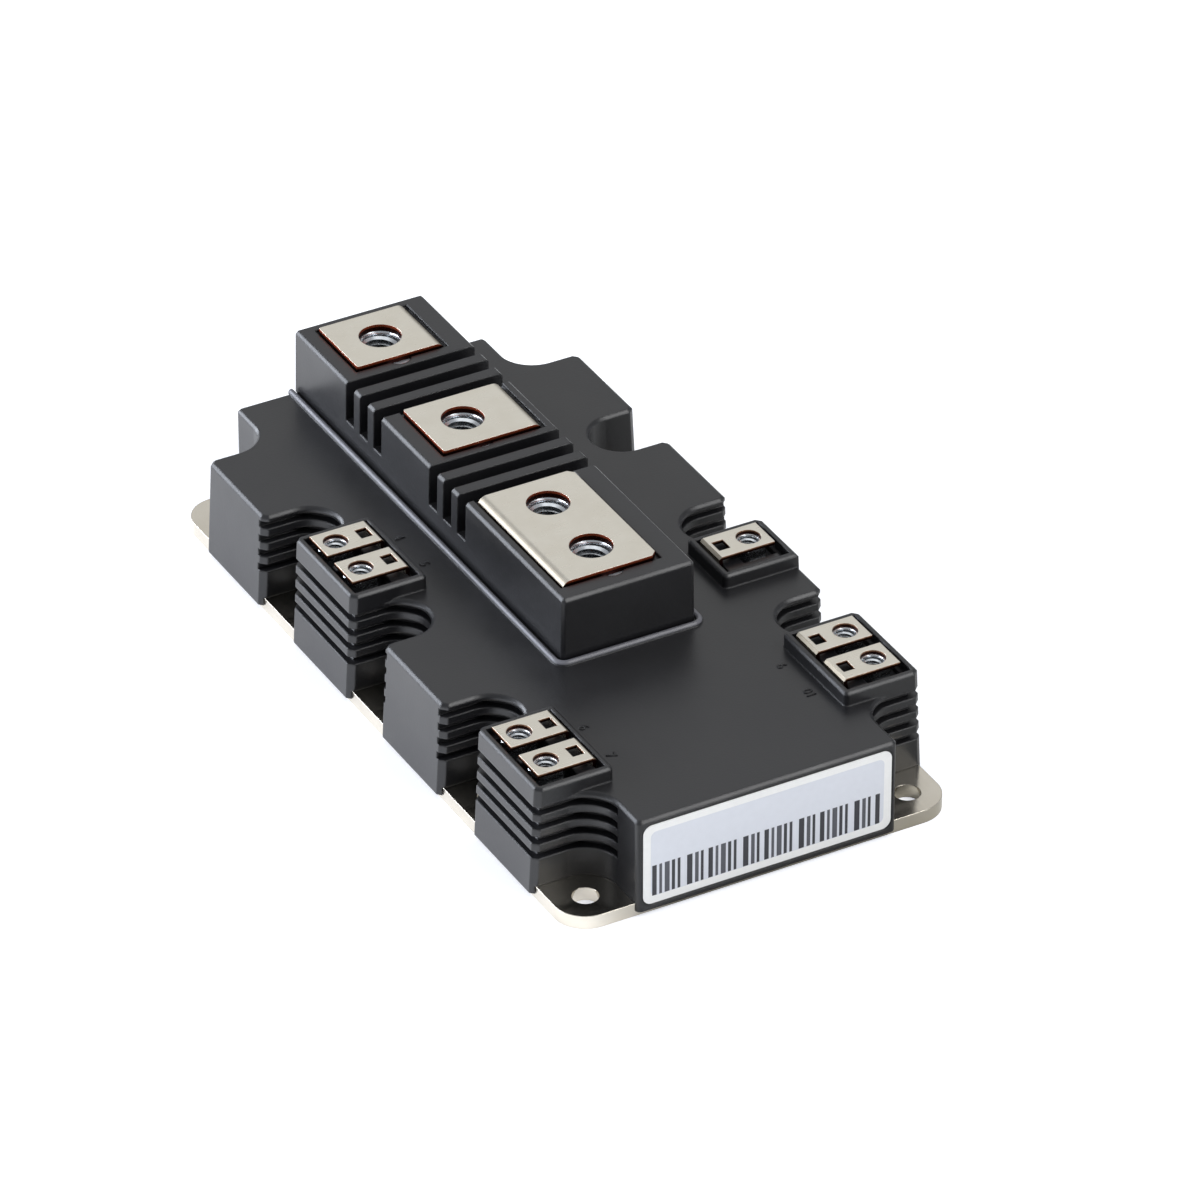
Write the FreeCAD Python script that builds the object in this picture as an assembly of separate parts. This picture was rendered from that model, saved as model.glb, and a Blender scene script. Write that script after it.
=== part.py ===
import FreeCAD, Part
import os
from math import cos, hypot, pi, radians, sin

os.makedirs("parts", exist_ok=True)
vec = FreeCAD.Vector

# A half-bridge IGBT power module, in millimetres. X runs along the module towards the
# label, Y across it and Z up. The origin is the middle of the mounting face.

# Outside
length = 172.0
width = 89.0
deck_top = 22.6
power_top = 38.0

# Base plate and its bolt holes
plate_thick = 3.0
plate_inset = 1.0
plate_corner = 7.0
bolts_per_side = 5
bolt_from_end = 8.0
bolt_from_side = 8.0
bolt_hole = 5.5

# Housing shell
side_draft = 1.1
wall = 3.0
deck_thick = 2.2
lip_bottom = 1.2
lip_gap = 0.1
notch_radius = 6.75
corner_notch_radius = 7.2
mouth_bevel = 1.2
end_round = 1.2
deck_bevel = 0.6
inner_facets = 8
label_recess = 0.2

# Creepage grooves round the notches beside the auxiliary terminals
groove_count = 4
groove_pitch = 3.4
groove_height = 1.7
groove_depth = 1.8
first_groove_drop = 2.1

# Auxiliary terminal trays on the deck
tray_rise = 3.1
tray_depth = 17.3
tray_rim = 1.3
tray_floor_drop = 2.3
tray_corner = 1.0
tray_bevel = 0.5
single_tray_length = 15.8
step_margin = 1.3
step_height = 1.2

# Auxiliary terminals and their nuts
aux_axis_inset = 7.5
aux_first = 13.0
aux_pitch = 11.0
aux_top = 26.4
aux_thick = 0.8
aux_width = 8.0
aux_end = 3.9
aux_leg_inset = 16.5
aux_hole = 5.2
aux_bevel = 0.6
aux_window_start = 1.3
aux_window_length = 2.6
aux_window_width = 3.4
aux_leg_width = 3.4
aux_leg_offset = 2.4
aux_foot_margin = 0.1
small_nut_flats = 7.0
small_nut_thick = 3.2
small_nut_bore = 3.3
small_nut_view = 1.9

# Terminal tower
tower_length = 115.8
tower_half = 15.0
tower_draft = 0.3
tower_bevel = 0.6
tower_wall = 2.3
shoulder = 0.8
spigot_below_deck = 1.0
spigot_gap = 0.15
collar_gap = 0.5
collar_width = 1.2
collar_height = 0.9
collar_corner = 2.7
slot_width = 3.5
slot_pitch = 6.1
slot_floor = 28.0
slots_per_group = 3
slot_group_1_from_end = 30.6
slot_group_2_from_end = 67.1

# Power terminals, their nuts and their seats in the tower
power_thick = 1.5
power_axis = -1.0
power_hole = 9.0
power_bend = 0.6
dc_corner = 0.3
ac_corner = 1.2
dc_minus_from_end = 11.2
dc_minus_back = 8.9
dc_minus_front = 8.6
dc_minus_left = 9.8
dc_minus_right = 10.5
dc_plus_from_end = 47.5
dc_plus_back = 8.6
dc_plus_front = 9.4
dc_plus_left = 9.3
dc_plus_right = 13.4
ac_from_end = 84.0
ac_hole_pitch = 18.0
ac_back = 8.6
ac_front = 9.0
ac_left = 11.6
ac_right = 10.2
seat_gap = 0.6
seat_sink = 0.7
nut_flats = 13.0
nut_thick = 6.5
nut_bore = 6.8
nut_pocket_gap = 0.2
carrier_margin = 1.2
carrier_gap = 0.1
carrier_floor = 1.6
tab_reach = 10.7
tab_width = 5.2
tab_thick = 0.5
tab_sink = 0.1
tab_gap = 0.1
leg_gap = 0.15
leg_side_margin = 3.5

# Busbars and feet inside
bar_low = 11.0
bar_high = 19.0
bar_end = 60.0
foot_width = 5.0
foot_length = 5.6
crossing_z = 9.2

# Boards inside
boards_per_row = 3
board_gap = 3.0
board_end_gap = 3.5
board_side_gap = 18.5
board_inner = 1.0
solder_thick = 0.2
copper_thick = 0.3
ceramic_thick = 0.6
ceramic_margin = 0.8
track_gap = 0.5
inner_track_share = 0.324
outer_track_width = 1.9
igbt_margin = 0.4
igbts_across = 3
igbt_share = 0.68
diode_share = 0.55
diodes_across = 8
chip_thick = 0.2
wire_thick = 0.4
wire_loop = 2.2
ribbon_width = 2.0
wire_landing = 6.5
gate_wire_start = 1.5
gate_wire_shift = 1.6
link_wire_xs = (-9.2, 9.2)
link_wire_start = 4.0
link_wire_end = -12.3
thermistor_size = (3.0, 1.6, 1.0)
gel_top = 10.0
gel_gap = 0.3

# Label on the end face
label_length = 56.0
label_height = 18.6
label_thick = 0.12
label_bottom = 2.5
label_corner = 2.0

# Places that follow from the sizes above
half_length = length / 2
half_width = width / 2
bolt_y = half_width - bolt_from_side
bolt_pitch = (length - 2 * bolt_from_end) / (bolts_per_side - 1)
bolt_xs = [bolt_pitch * (i - (bolts_per_side - 1) / 2) for i in range(bolts_per_side)]
last_bolt_x = bolt_xs[-1]
cavity_top = deck_top - deck_thick
tray_top = deck_top + tray_rise
tray_floor = tray_top - tray_floor_drop
aux_under = aux_top - aux_thick
aux_axis = half_width - aux_axis_inset
aux_leg = half_width - aux_leg_inset
tower_front = tower_length - half_length
slot_group_1 = slot_group_1_from_end - half_length
slot_group_2 = slot_group_2_from_end - half_length
dc_minus_hole = dc_minus_from_end - half_length
dc_plus_hole = dc_plus_from_end - half_length
ac_hole_1 = ac_from_end - half_length
power_under = power_top - power_thick
tower_top = power_under + seat_sink
carrier_bottom = power_under - nut_thick - nut_pocket_gap - carrier_floor
tab_bottom = power_under - tab_sink - tab_thick
board_bottom = plate_thick + solder_thick
ceramic_bottom = board_bottom + copper_thick
track_bottom = ceramic_bottom + ceramic_thick
track_top = track_bottom + copper_thick
board_room = length - 2 * (wall + board_end_gap)
board_length = (board_room - (boards_per_row - 1) * board_gap) / boards_per_row
board_pitch = board_length + board_gap
board_xs = [board_pitch * (i - (boards_per_row - 1) / 2) for i in range(boards_per_row)]
board_width = half_width - board_side_gap - board_inner
board_outer = board_inner + board_width
inner_track_end = board_inner + ceramic_margin + board_width * inner_track_share
outer_track_start = board_outer - ceramic_margin - outer_track_width
igbt_x = board_length / igbts_across
igbt_length = igbt_x * igbt_share
igbt_width = outer_track_start - inner_track_end - 2 * (track_gap + igbt_margin)
igbt_y = (inner_track_end + outer_track_start) / 2
diode_length = igbt_length * diode_share
diode_width = igbt_width * diode_share
diode_x = board_length / diodes_across
diode_y = igbt_y + (igbt_width - diode_width) / 2 - track_gap
gate_wire_end = outer_track_start + outer_track_width / 2
aux_foot_end = outer_track_start + aux_foot_margin

# One entry for each tray: side, start of the tray, end of the tray, terminal holes
notch_edge = notch_radius
corner_edge = last_bolt_x - corner_notch_radius


def tray(side, bolt, count, end):
    holes = [bolt + aux_first + aux_pitch * i for i in range(count)]
    return {"side": side, "start": bolt + notch_edge, "end": end, "holes": holes}


trays = [
    tray(-1, -bolt_pitch, 2, -notch_edge),
    tray(-1, bolt_pitch, 2, corner_edge),
    tray(1, 0.0, 1, notch_edge + single_tray_length),
    tray(1, bolt_pitch, 2, corner_edge),
]

# One entry for each power terminal. x is measured from its first and last hole, y from the holes' axis
def seat(node, holes, x, y, leg, corner):
    return {"node": node, "holes": holes, "x": x, "y": y, "leg": leg, "corner": corner}


seats = [
    seat("dc_minus_terminal", [dc_minus_hole], (-dc_minus_back, dc_minus_front),
         (-dc_minus_left, dc_minus_right), 1, dc_corner),
    seat("dc_plus_terminal", [dc_plus_hole], (-dc_plus_back, dc_plus_front),
         (-dc_plus_left, dc_plus_right), 1, dc_corner),
    seat("ac_terminal", [ac_hole_1, ac_hole_1 + ac_hole_pitch], (-ac_back, ac_front),
         (-ac_left, ac_right), -1, ac_corner),
]


def box(x0, x1, y0, y1, z0, z1):
    return Part.makeBox(x1 - x0, y1 - y0, z1 - z0, vec(x0, y0, z0))


def side_box(side, x0, x1, y0, y1, z0, z1):
    # A box whose Y extent is given outwards from the middle of the module
    low, high = sorted((side * y0, side * y1))
    return box(x0, x1, low, high, z0, z1)


def rounded_box(x0, x1, y0, y1, z0, z1, radius):
    block = box(x0, x1, y0, y1, z0, z1)
    return block.makeFillet(radius, upright_edges(block))


def upright_edges(shape):
    return [e for e in shape.Edges if is_upright(e)]


def is_upright(edge):
    ends = [v.Point for v in edge.Vertexes]
    if len(ends) < 2:
        return False
    run = ends[1] - ends[0]
    return abs(run.z) > 0.9 * run.Length


def fuse_all(shapes):
    return shapes[0].multiFuse(shapes[1:]) if len(shapes) > 1 else shapes[0]


def cut_all(shape, cutters):
    return shape.cut(fuse_all(cutters))


def wall_at(z):
    # Half width of the drafted side walls at height z
    return half_width - side_draft * (z - lip_bottom) / (deck_top - lip_bottom)


def pillar(x, y, radius, z0, z1, facets):
    # A round pillar, or one with flat sides that touch the same circle
    if not facets:
        return Part.makeCylinder(radius, z1 - z0, vec(x, y, z0))
    corner = radius / cos(pi / facets)
    turns = [2 * pi * (k + 0.5) / facets for k in range(facets)]
    points = [vec(x + corner * cos(t), y + corner * sin(t), z0) for t in turns]
    return Part.Face(Part.makePolygon(points + points[:1])).extrude(vec(0, 0, z1 - z0))


def bolt_notch(x, side, radius, z0, z1, facets):
    mouth = side_box(side, x - radius, x + radius, bolt_y, width, z0, z1)
    return pillar(x, side * bolt_y, radius, z0, z1, facets).fuse(mouth)


def corner_notch(end, side, radius, z0, z1, facets):
    x = end * last_bolt_x
    x0, x1 = sorted((x - end * radius, end * length))
    mouth = side_box(side, x0, x1, bolt_y, width, z0, z1)
    x0, x1 = sorted((x, end * length))
    flank = side_box(side, x0, x1, bolt_y - radius, width, z0, z1)
    return pillar(x, side * bolt_y, radius, z0, z1, facets).multiFuse([mouth, flank])


def notches(inset, z0, z1):
    # Round on the outside of the module, faceted on walls that lie inside it
    facets = inner_facets if inset > 0 else 0
    inner = [bolt_notch(x, side, notch_radius + inset, z0, z1, facets)
             for x in bolt_xs[1:-1] for side in (-1, 1)]
    outer = [corner_notch(end, side, corner_notch_radius + inset, z0, z1, facets)
             for end in (-1, 1) for side in (-1, 1)]
    return inner + outer


def drafted_block(inset, z0, z1):
    low = wall_at(z0) - inset
    high = wall_at(z1) - inset
    x = inset - half_length
    points = [vec(x, -low, z0), vec(x, low, z0), vec(x, high, z1), vec(x, -high, z1)]
    face = Part.Face(Part.makePolygon(points + points[:1]))
    return face.extrude(vec(2 * (half_length - inset), 0, 0))


def plan_solid(inset, z0, z1):
    # The module's outline with its ten notches, moved inwards by inset
    return cut_all(drafted_block(inset, z0, z1), notches(inset, z0 - 1, z1 + 1))


def near(value, targets, reach=0.6):
    return any(abs(value - t) < reach for t in targets)


def outer_mouth_edges(shape):
    mouths = [x + k * notch_radius for x in bolt_xs[1:-1] for k in (-1, 1)]
    mouths += [-corner_edge, corner_edge]
    found = []
    for edge in upright_edges(shape):
        point = edge.CenterOfMass
        if near(point.x, mouths) and abs(point.y) > bolt_y + 2:
            found.append(edge)
    return found


def end_edges(shape):
    return [e for e in upright_edges(shape) if abs(e.CenterOfMass.x) > half_length - 0.1]


def edges_at(shape, z):
    # The edges that lie level at height z
    found = []
    for edge in shape.Edges:
        middle = edge.valueAt((edge.FirstParameter + edge.LastParameter) / 2)
        heights = [v.Point.z for v in edge.Vertexes] + [middle.z]
        if all(abs(height - z) < 0.01 for height in heights):
            found.append(edge)
    return found


def groove_zones(z0, z1):
    reach = notch_edge + groove_depth
    far = last_bolt_x
    left = [side_box(-1, -bolt_pitch - reach, reach, 0, width, z0, z1),
            side_box(-1, bolt_pitch - reach, far, 0, width, z0, z1)]
    right = [side_box(1, -reach, far, 0, width, z0, z1)]
    return left + right


def creepage_grooves(core):
    # Level grooves, each a slice of the zones outside a core that is smaller by the groove's depth
    cutters = []
    for k in range(groove_count):
        middle = deck_top - first_groove_drop - k * groove_pitch
        low = middle - groove_height / 2
        cutters += groove_zones(low, low + groove_height)
    return fuse_all(cutters).cut(core)


def tray_block(t, z0, z1):
    low, high = sorted((t["side"] * (wall_at(deck_top) - tray_depth), t["side"] * (half_width + 5)))
    return rounded_box(t["start"], t["end"], low, high, z0, z1, tray_corner)


def tray_recess(t):
    side = t["side"]
    x0, x1 = t["start"] + tray_rim, t["end"] - tray_rim
    y0 = wall_at(deck_top) - tray_depth + tray_rim
    y1 = wall_at(tray_top) - tray_rim
    low, high = sorted((side * y0, side * y1))
    recess = box(x0, x1, low, high, tray_floor, tray_top + 1)
    m = step_margin
    step = box(x0 + m, x1 - m, low + m, high - m, tray_floor - 1, tray_floor + step_height)
    return recess.cut(step)


def small_nut_z():
    return aux_under - small_nut_thick


def aux_pockets(t):
    # Nut pockets in the step, open towards the label end, and slits for the legs
    side = t["side"]
    cutters = []
    for x in t["holes"]:
        half = small_nut_flats / 2 + 0.15
        corner = small_nut_flats / 2 / cos(radians(30)) + 0.15
        cutters.append(side_box(side, x - half, x + half + small_nut_view, aux_axis - corner, aux_axis + corner,
                                small_nut_z() - 0.05, tray_top + 1))
        cutters.append(side_box(side, x - aux_width / 2 - 0.1, x + aux_width / 2 + 0.1, aux_leg - 0.1,
                                aux_leg + aux_thick + 0.1, tray_floor - 1.0, tray_top + 1))
        cutters.append(side_box(side, x + aux_leg_offset - aux_leg_width / 2 - 0.1,
                                x + aux_leg_offset + aux_leg_width / 2 + 0.1, aux_leg - 0.1,
                                aux_leg + aux_thick + 0.1, cavity_top - 1, tray_top))
    return cutters


def tower_opening(gap, z0, z1):
    # The opening in the deck, or with a gap the spigot that fills it
    half = tower_half + tower_draft - shoulder - gap
    return box(wall - half_length + gap, tower_front - shoulder - gap, -half, half, z0, z1)


def collar():
    # A low bead on the deck round three sides of the tower
    inner = tower_half + tower_draft + collar_gap
    outer = inner + collar_width
    front = tower_front + collar_gap
    top = deck_top + collar_height
    corner = collar_corner
    ring = rounded_box(-length, front + collar_width, -outer, outer, deck_top - 0.2, top, corner)
    hole = rounded_box(-length - 1, front, -inner, inner, deck_top - 1, top + 1, corner - collar_width)
    ring = ring.cut(hole).common(box(-half_length, length, -width, width, 0, tower_top))
    return ring.makeChamfer(collar_width * 0.3, long_edges_at(ring, deck_top + collar_height))


def long_edges_at(ring, z):
    # Leaves out the short cut ends on the end face
    return [e for e in edges_at(ring, z) if abs(e.CenterOfMass.x + half_length) > 0.01]


def rounded_outline(z1):
    block = plan_solid(0.0, lip_bottom, z1)
    block = block.makeChamfer(mouth_bevel, outer_mouth_edges(block))
    return block.makeFillet(end_round, end_edges(block))


def tray_walls():
    tall = rounded_outline(tray_top)
    walls = tall.common(fuse_all([tray_block(t, deck_top - 1.5, tray_top + 1) for t in trays]))
    return walls.makeChamfer(tray_bevel, edges_at(walls, tray_top))


def housing_shell():
    shell = rounded_outline(deck_top)
    shell = shell.makeChamfer(deck_bevel, edges_at(shell, deck_top))
    shell = shell.fuse(tray_walls())
    shell = shell.cut(creepage_grooves(plan_solid(groove_depth, lip_bottom - 1, deck_top)))
    shell = shell.cut(plan_solid(wall, plate_thick - 1, cavity_top))
    plate_room = rounded_box(plate_inset - half_length - lip_gap, half_length - plate_inset + lip_gap,
                             plate_inset - half_width - lip_gap, half_width - plate_inset + lip_gap,
                             -1, plate_thick, plate_corner + lip_gap)
    shell = shell.cut(plate_room)
    shell = shell.fuse(collar())
    cutters = [tower_opening(0.0, 0, tower_top)]
    cutters.append(label_plate(label_recess + 1, 0.3, half_length - label_recess))
    for t in trays:
        cutters.append(tray_recess(t))
        cutters += aux_pockets(t)
    return cut_all(shell, cutters).removeSplitter()


def base_plate():
    x = half_length - plate_inset
    y = half_width - plate_inset
    plate = rounded_box(-x, x, -y, y, 0, plate_thick, plate_corner)
    bores = [Part.makeCylinder(bolt_hole / 2, plate_thick + 2, vec(bx, side * bolt_y, -1))
             for bx in bolt_xs for side in (-1, 1)]
    return cut_all(plate, bores)


def bent_strip(points, thick, inner_radius, x0, x1):
    # A strip bent along a line of (y, z) points, its middle on that line, between x0 and x1
    sides = []
    for sign in (1, -1):
        edges = []
        start = offset_point(points[0], points[0], points[1], sign * thick / 2)
        for a, b, c in zip(points, points[1:], points[2:]):
            before, middle, after = corner_arc(a, b, c, inner_radius + thick / 2, sign * thick / 2)
            edges.append(Part.LineSegment(start, before).toShape())
            edges.append(Part.Arc(before, middle, after).toShape())
            start = after
        end = offset_point(points[-1], points[-2], points[-1], sign * thick / 2)
        edges.append(Part.LineSegment(start, end).toShape())
        sides.append(edges)
    first = [edges[0].Vertexes[0].Point for edges in sides]
    last = [edges[-1].Vertexes[-1].Point for edges in sides]
    caps = [Part.LineSegment(*first).toShape(), Part.LineSegment(*last).toShape()]
    wire = Part.Wire(Part.__sortEdges__(sides[0] + sides[1] + caps))
    face = Part.Face(wire)
    face.translate(vec(x0, 0, 0))
    return face.extrude(vec(x1 - x0, 0, 0))


def direction(a, b):
    size = hypot(b[0] - a[0], b[1] - a[1])
    return (b[0] - a[0]) / size, (b[1] - a[1]) / size


def offset_point(point, a, b, reach):
    u = direction(a, b)
    return vec(0, point[0] - u[1] * reach, point[1] + u[0] * reach)


def corner_arc(a, b, c, radius, reach):
    u = direction(a, b)
    v = direction(b, c)
    turn = u[0] * v[1] - u[1] * v[0]
    sign = 1 if turn > 0 else -1
    bend = abs(turn) / (1 + u[0] * v[0] + u[1] * v[1])
    run = radius * bend
    enter = (b[0] - u[0] * run, b[1] - u[1] * run)
    leave = (b[0] + v[0] * run, b[1] + v[1] * run)
    centre = (enter[0] - u[1] * sign * radius, enter[1] + u[0] * sign * radius)
    outward = direction(centre, b)
    rho = radius - sign * reach
    before = offset_point(enter, a, b, reach)
    after = offset_point(leave, b, c, reach)
    middle = vec(0, centre[0] + outward[0] * rho, centre[1] + outward[1] * rho)
    return before, middle, after


def square_strip(points, thick, x0, x1):
    # A strip with square corners along (y, z) points
    half = thick / 2
    runs = [box(x0, x1, min(a[0], b[0]) - half, max(a[0], b[0]) + half, min(a[1], b[1]) - half,
                max(a[1], b[1]) + half) for a, b in zip(points, points[1:])]
    return fuse_all(runs)


def seat_bounds(place):
    x0 = place["holes"][0] + place["x"][0]
    x1 = place["holes"][-1] + place["x"][1]
    return x0, x1, power_axis + place["y"][0], power_axis + place["y"][1]


def leg_band(place):
    # The two faces of a terminal's leg, across Y
    x0, x1, y0, y1 = seat_bounds(place)
    return (y1 - power_thick, y1) if place["leg"] > 0 else (y0, y0 + power_thick)


def power_terminal(place):
    x0, x1, y0, y1 = seat_bounds(place)
    leg_low, leg_high = leg_band(place)
    leg_y = (leg_low + leg_high) / 2
    free_y = y0 if place["leg"] > 0 else y1
    top_z = power_top - power_thick / 2
    path = [(free_y, top_z), (leg_y, top_z), (leg_y, power_under - 4)]
    top = bent_strip(path, power_thick, power_bend, x0, x1)
    corners = [e for e in upright_edges(top) if abs(e.CenterOfMass.y - free_y) < 0.01]
    top = top.makeChamfer(place["corner"], corners)
    leg = box(x0 + leg_side_margin, x1 - leg_side_margin, leg_low, leg_high, bar_low, power_under - 4)
    bar = box(min(x0 + leg_side_margin, -bar_end), max(x1 - leg_side_margin, bar_end), leg_low, leg_high,
              bar_low, bar_high)
    half = foot_width / 2
    feet = [square_strip(foot_path(place), power_thick, x - half, x + half) for x in board_xs]
    holes = [Part.makeCylinder(power_hole / 2, power_thick * 2, vec(x, power_axis, power_under - 0.5))
             for x in place["holes"]]
    return cut_all(fuse_all([top, leg, bar] + feet).removeSplitter(), holes)


def foot_path(place):
    # From the bar down to a board: the minus bar crosses to the other row, the rest bend outwards
    low, high = leg_band(place)
    leg_y = (low + high) / 2
    pad_z = track_top + power_thick / 2
    run = foot_length - power_thick / 2
    if place["node"] == "dc_minus_terminal":
        drop_y = -board_inner - ceramic_margin - power_thick
        crossing = [(leg_y, bar_low), (leg_y, crossing_z), (drop_y, crossing_z)]
        return crossing + [(drop_y, pad_z), (drop_y - run, pad_z)]
    return [(leg_y, bar_low), (leg_y, pad_z), (leg_y + place["leg"] * run, pad_z)]


def hex_prism(flats, thick, x, y, z):
    corner = flats / 2 / cos(radians(30))
    turns = [radians(60 * k) for k in range(6)]
    points = [vec(x + corner * sin(t), y + corner * cos(t), z) for t in turns]
    return Part.Face(Part.makePolygon(points + points[:1])).extrude(vec(0, 0, thick))


def hex_nut(flats, thick, bore, x, y, z):
    # A nut with a flat towards the label end
    return hex_prism(flats, thick, x, y, z).cut(Part.makeCylinder(bore / 2, thick + 2, vec(x, y, z - 1)))


def slot_xs():
    middle = (slots_per_group - 1) / 2
    return [group + slot_pitch * (k - middle) for group in (slot_group_1, slot_group_2)
            for k in range(slots_per_group)]


def tower_body(inset, z0, z1):
    low = tower_half + tower_draft - inset
    high = tower_half - inset
    x = inset - half_length
    points = [vec(x, -low, z0), vec(x, low, z0), vec(x, high, z1), vec(x, -high, z1)]
    face = Part.Face(Part.makePolygon(points + points[:1]))
    return face.extrude(vec(tower_front + half_length - 2 * inset, 0, 0))


def carrier_block(place, gap, z0, z1):
    # The room under a terminal for the block that holds its nuts, up to the slit for the leg
    x0, x1, y0, y1 = seat_bounds(place)
    leg_low, leg_high = leg_band(place)
    m = carrier_margin
    if place["leg"] > 0:
        y0, y1 = y0 + m, leg_low - leg_gap - power_bend
    else:
        y0, y1 = leg_high + leg_gap + power_bend, y1 - m
    return box(x0 + m + gap, x1 - m - gap, y0 + gap, y1 - gap, z0, z1)


def tab_shape(place, gap, z0, z1):
    # A strip with a round end, in front of the terminal's last nut
    nut_face = place["holes"][-1] + nut_flats / 2
    end = place["holes"][-1] + tab_reach - tab_width / 2
    half = tab_width / 2 - gap
    start = nut_face + (nut_pocket_gap + gap if gap else 0)
    strip = box(start, end, power_axis - half, power_axis + half, z0, z1)
    strip = strip.fuse(Part.makeCylinder(half, z1 - z0, vec(end, power_axis, z0)))
    kept = box(start, end + half, power_axis - half, power_axis + half, z0, z1)
    return strip.removeSplitter().common(kept)


def nut_carrier(place):
    # Moulded block with a hexagonal pocket for each nut and a recess for the tab
    block = carrier_block(place, carrier_gap, carrier_bottom, power_under)
    z = power_under - nut_thick - nut_pocket_gap
    flats = nut_flats + 2 * nut_pocket_gap
    cutters = [hex_prism(flats, nut_thick + 2, x, power_axis, z) for x in place["holes"]]
    cutters.append(tab_shape(place, 0.0, tab_bottom, tower_top))
    return cut_all(block, cutters)


def seat_cutters(place):
    # The terminal's seat, the room for its nut carrier, the slit for its leg and the tab's recess
    x0, x1, y0, y1 = seat_bounds(place)
    leg_low, leg_high = leg_band(place)
    g = seat_gap
    seat_room = box(x0 - g, x1 + g, y0 - g, y1 + g, power_under, tower_top + 1)
    inner_low = leg_gap + (power_bend if place["leg"] > 0 else 0)
    inner_high = leg_gap + (power_bend if place["leg"] < 0 else 0)
    slit = box(x0 - leg_gap, x1 + leg_gap, leg_low - inner_low, leg_high + inner_high,
               slot_floor - tower_wall - 1, tower_top + 1)
    room = carrier_block(place, 0.0, carrier_bottom, power_under + seat_sink / 2)
    return [seat_room, slit, room, tab_shape(place, 0.0, tab_bottom, tower_top + 1)]


def terminal_tower():
    tower = tower_body(0.0, deck_top, tower_top)
    raised = [e for e in tower.Edges if e.CenterOfMass.z > deck_top + 0.5]
    rims = [e for e in raised if abs(e.CenterOfMass.x + half_length) > 0.01]
    tower = tower.makeChamfer(tower_bevel, rims)
    spigot_bottom = cavity_top - spigot_below_deck
    tower = tower.fuse(tower_opening(spigot_gap, spigot_bottom, deck_top + 1))
    inside = tower_half - tower_wall
    back = wall - half_length + spigot_gap + tower_wall
    front = tower_front - shoulder - spigot_gap - tower_wall
    hollow = box(back, front, -inside, inside, spigot_bottom - 1, slot_floor - tower_wall)
    cutters = [hollow]
    cutters += [box(x - slot_width / 2, x + slot_width / 2, -width, width, slot_floor, tower_top + 1)
                for x in slot_xs()]
    for place in seats:
        cutters += seat_cutters(place)
    return cut_all(tower, cutters).removeSplitter()


def aux_terminal(side, x):
    # Flat tongue over the nut, a windowed bend, a leg down into the module and a foot on the board
    middle = aux_top - aux_thick / 2
    leg_y = aux_leg + aux_thick / 2
    low = tray_floor - 0.5
    half = aux_width / 2
    free_y = aux_axis + aux_end - aux_thick / 2
    path = [(side * free_y, middle), (side * leg_y, middle), (side * leg_y, low)]
    tongue = square_strip(path, aux_thick, x - half, x + half)
    tongue = tongue.makeChamfer(aux_bevel, [e for e in edges_at(tongue, aux_top)
                                            if abs(abs(e.CenterOfMass.y) - aux_leg) < 0.01])
    x0 = x + aux_leg_offset - aux_leg_width / 2
    x1 = x0 + aux_leg_width
    leg = side_box(side, x0, x1, aux_leg, aux_leg + aux_thick, track_top, low)
    foot = side_box(side, x0, x1, aux_foot_end, aux_leg, track_top, track_top + aux_thick)
    window_y = aux_leg + aux_window_start
    window = side_box(side, x - aux_window_width / 2, x + aux_window_width / 2, window_y,
                      window_y + aux_window_length, aux_under - 1, aux_top + 1)
    hole = Part.makeCylinder(aux_hole / 2, aux_thick * 3, vec(x, side * aux_axis, aux_under - aux_thick))
    return cut_all(fuse_all([tongue, leg, foot]).removeSplitter(), [window, hole])


def board_box(x, side, y0, y1, z0, z1, margin=0.0):
    half = board_length / 2 - margin
    return side_box(side, x - half, x + half, y0, y1, z0, z1)


def boards():
    places = [(x, side) for side in (-1, 1) for x in board_xs]
    outer = board_outer
    m = ceramic_margin
    ceramics = [board_box(x, s, board_inner, outer, ceramic_bottom, track_bottom) for x, s in places]
    inner = board_inner + m
    solder = [board_box(x, s, inner, outer - m, plate_thick, board_bottom, m) for x, s in places]
    backs = [board_box(x, s, inner, outer - m, board_bottom, ceramic_bottom, m) for x, s in places]
    tracks = []
    middle = (inner_track_end + track_gap, outer_track_start - track_gap)
    bands = [(inner, inner_track_end), middle, (outer_track_start, outer - m)]
    for x, s in places:
        tracks += [board_box(x, s, a, b, track_bottom, track_top, m) for a, b in bands]
    return places, ceramics, solder, backs, tracks


def chip(x, side, y, long, wide):
    return side_box(side, x - long / 2, x + long / 2, y - wide / 2, y + wide / 2,
                    track_top, track_top + chip_thick)


def wire(side, x, y_start, y_end, z_start, z_end, wide=wire_thick):
    # A bond wire or ribbon as a loop over its two feet
    peak = track_top + chip_thick + wire_loop
    path = [(y_start, z_start), ((y_start + y_end) / 2, peak), (y_end, z_end)]
    points = [vec(x - wide / 2, side * y, z) for y, z in path]
    points += [vec(p.x, p.y, p.z + wire_thick) for p in reversed(points)]
    return Part.Face(Part.makePolygon(points + points[:1])).extrude(vec(wide, 0, 0))


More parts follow.
